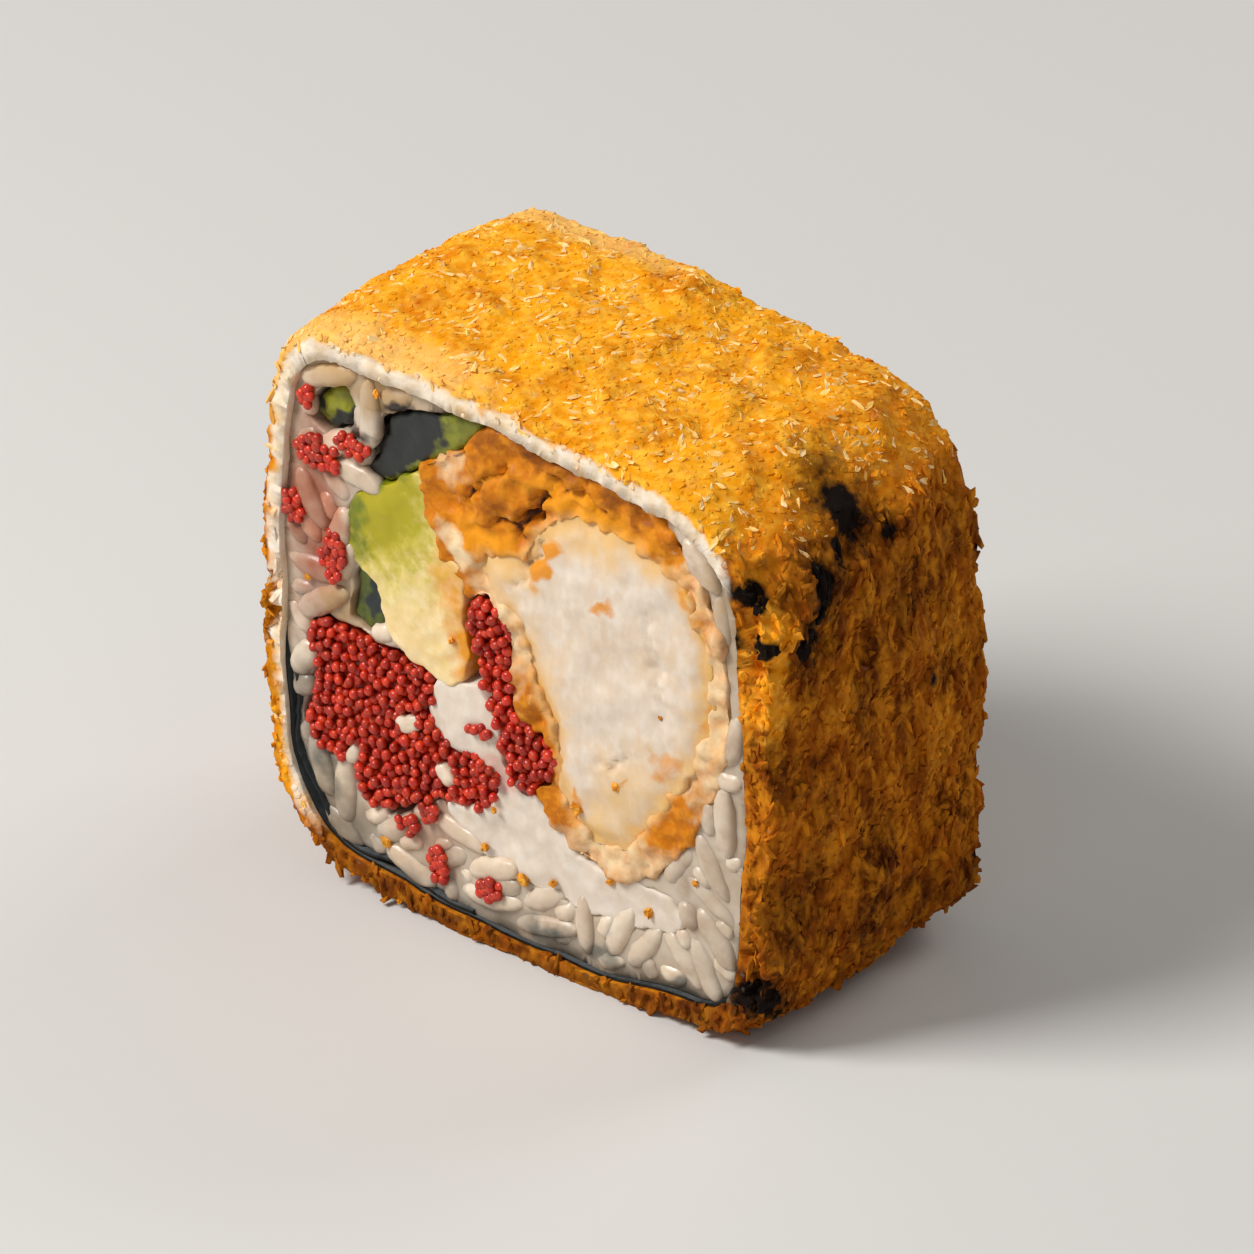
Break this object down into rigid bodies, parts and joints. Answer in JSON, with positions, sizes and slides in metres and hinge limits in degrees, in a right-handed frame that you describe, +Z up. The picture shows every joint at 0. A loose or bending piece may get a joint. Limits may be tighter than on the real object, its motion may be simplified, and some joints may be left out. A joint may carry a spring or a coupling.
{
  "type": "shrimp tempura roll piece",
  "caption": "Cut piece of a deep-fried sushi roll standing on its side: crumb coat and seaweed round rice, tempura prawn, avocado, cucumber, roe and soft cheese.",
  "frame": {"origin": "centre of the bounding box at its base, on the surface that the piece rests on", "axes": "+Z up; Y along the roll's own axis, the shown cut facing -Y; +X to the right as seen from the shown cut"},
  "size_m": [0.052, 0.026, 0.0473],
  "materials": {
    "fried_crumb": "coarse fried bread crumbs, golden to orange-brown, burnt in spots on one side, pale batter at the cut rims",
    "seaweed": "near-black toasted seaweed sheet, faint sheen",
    "rice": "moist, slightly translucent grains, off-white",
    "prawn": "cooked white prawn meat, moist, stained yellow near the batter",
    "tempura_batter": "fried tempura batter, orange-brown, cracked and slightly oily",
    "avocado": "bright green at the skin side, pale yellow inside",
    "cucumber": "green flesh with a dark slate-green skin",
    "fish_roe": "glossy red beads, slightly translucent",
    "cream_cheese": "smooth soft white cheese, satin"
  },
  "bodies": {
    "root": {"crumb_coat": "fried_crumb", "nori_wrap": "seaweed", "rice": "rice", "prawn": "prawn", "prawn_batter": "tempura_batter", "avocado": "avocado", "cucumber": "cucumber", "cucumber_chip_high": "cucumber", "cucumber_chip_low": "cucumber", "roe_cluster": "fish_roe", "roe_strand": "fish_roe", "cream_cheese": "cream_cheese"}
  },
  "joints": []
}
